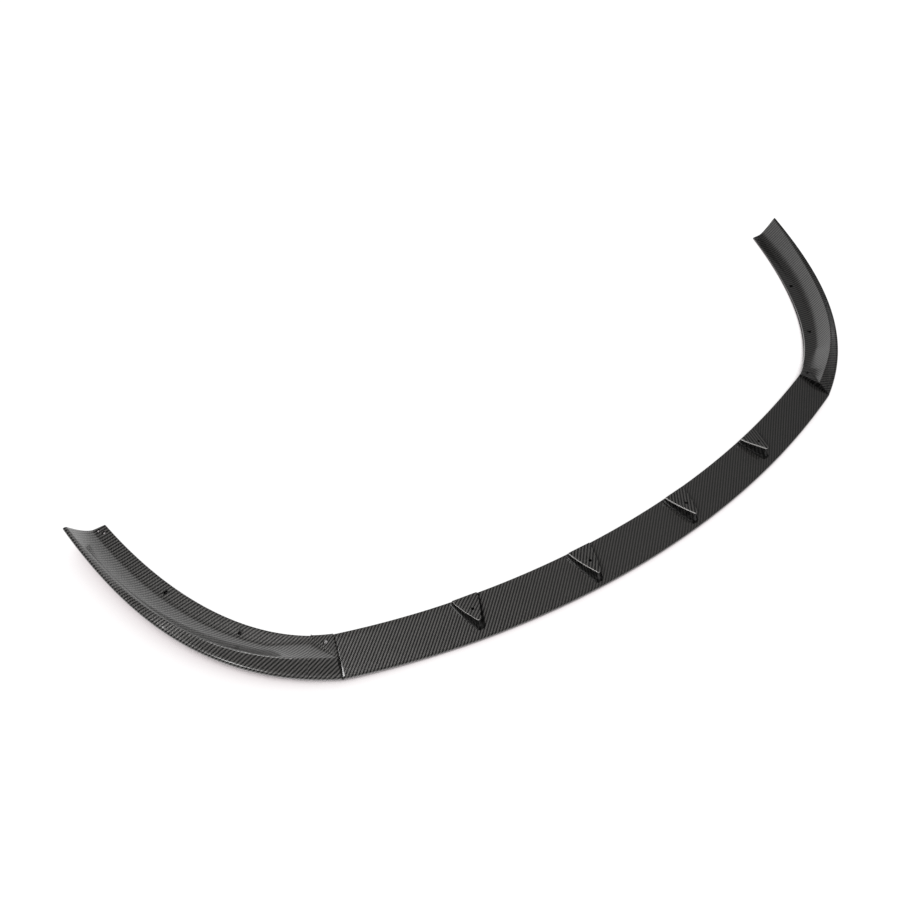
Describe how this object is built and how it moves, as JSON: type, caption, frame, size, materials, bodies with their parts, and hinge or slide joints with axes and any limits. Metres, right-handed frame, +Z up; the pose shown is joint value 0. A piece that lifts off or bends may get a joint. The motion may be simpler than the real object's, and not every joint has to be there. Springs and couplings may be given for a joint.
{
  "type": "front splitter lip",
  "caption": "Carbon-fibre front bumper splitter lip: flat curved centre blade with mounting struts and swept, concave end sections.",
  "frame": {"origin": "bottom centre of the bounding box, on the surface the lip stands on", "axes": "+X across the car, the front edge faces -Y, +Z up"},
  "size_m": [1.79, 0.56, 0.046],
  "materials": {
    "carbon": "gloss"
  },
  "bodies": {
    "root": {"centre_blade": "carbon", "left_end": "carbon", "right_end": "carbon", "strut_outer_left": "carbon", "strut_inner_left": "carbon", "strut_inner_right": "carbon", "strut_outer_right": "carbon"}
  },
  "joints": []
}
